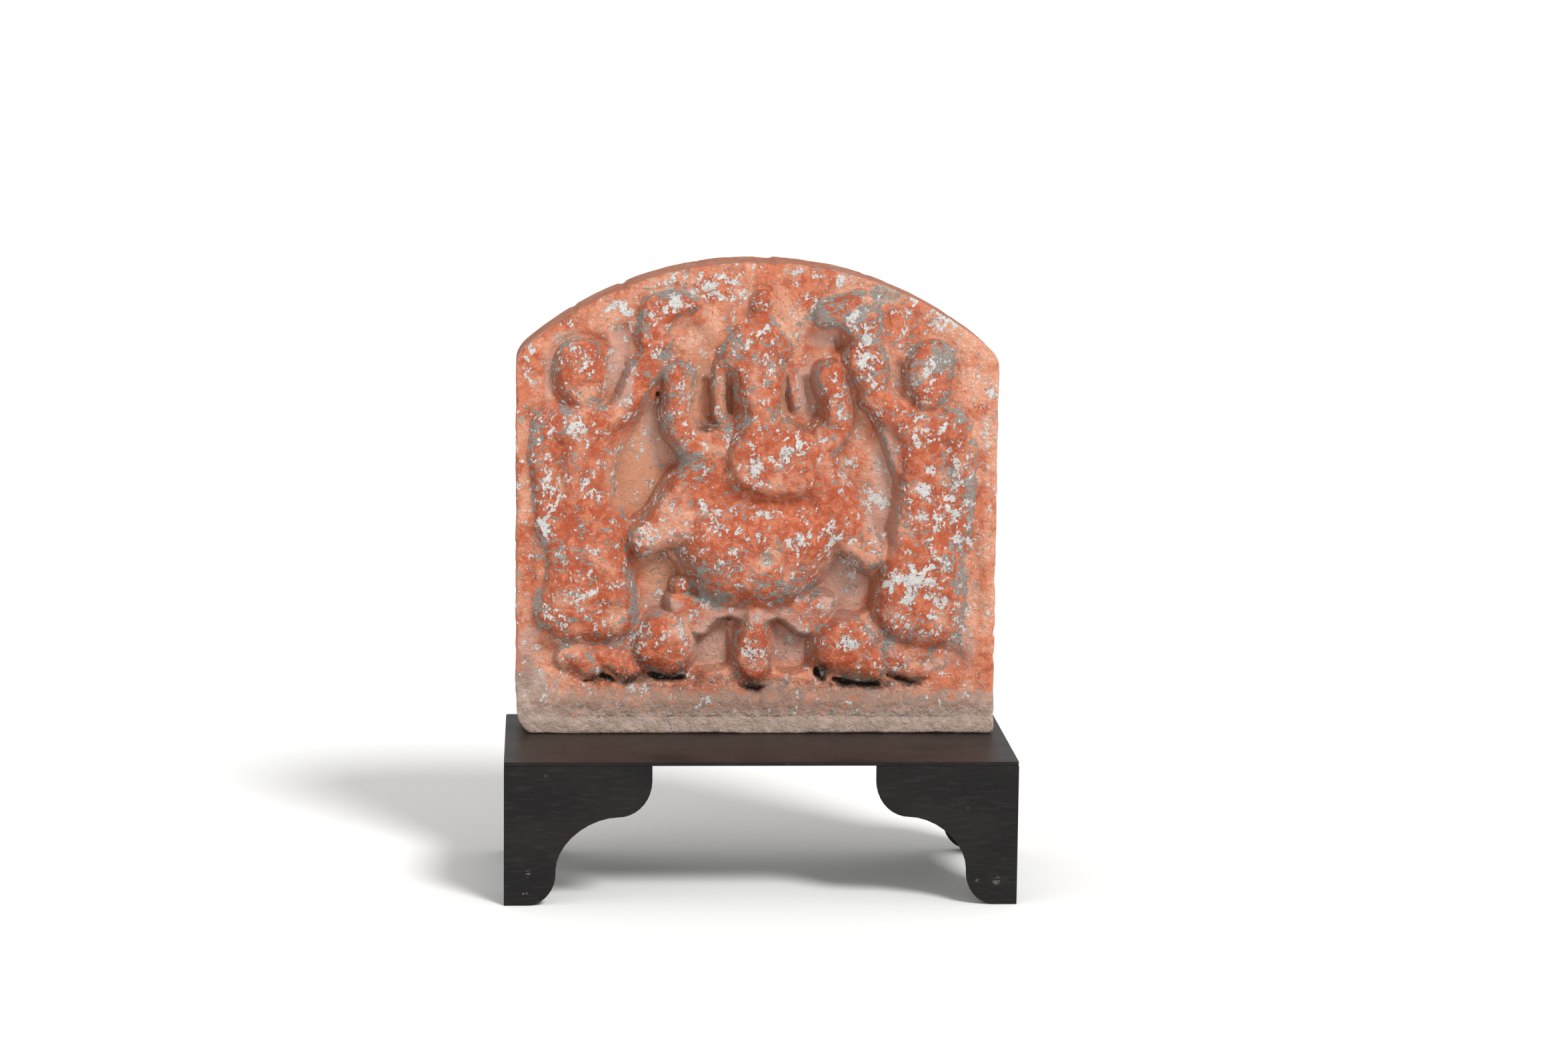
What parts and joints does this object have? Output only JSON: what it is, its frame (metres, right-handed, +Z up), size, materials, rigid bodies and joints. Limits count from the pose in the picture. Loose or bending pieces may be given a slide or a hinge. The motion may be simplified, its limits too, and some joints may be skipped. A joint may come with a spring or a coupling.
{
  "type": "carved relief stele on stand",
  "caption": "Arched stone slab carved with a seated elephant-headed figure between standing attendants, resting on a low steel stand with S-curved brackets.",
  "frame": {"origin": "on the ground under the middle of the stand", "axes": "+Z up, the relief faces -Y, +X to the viewer's right"},
  "size_m": [0.618, 0.3, 0.7599],
  "materials": {
    "painted_stone": "vermilion paint worn over carved sandstone, with patches of silver foil",
    "black_steel": "satin black paint, scuffed at the edges"
  },
  "bodies": {
    "root": {"stele": "painted_stone", "stand_top": "black_steel", "stand_bracket_front_left": "black_steel", "stand_bracket_front_right": "black_steel", "stand_bracket_rear_left": "black_steel", "stand_bracket_rear_right": "black_steel", "stand_side_left": "black_steel", "stand_side_right": "black_steel"}
  },
  "joints": []
}
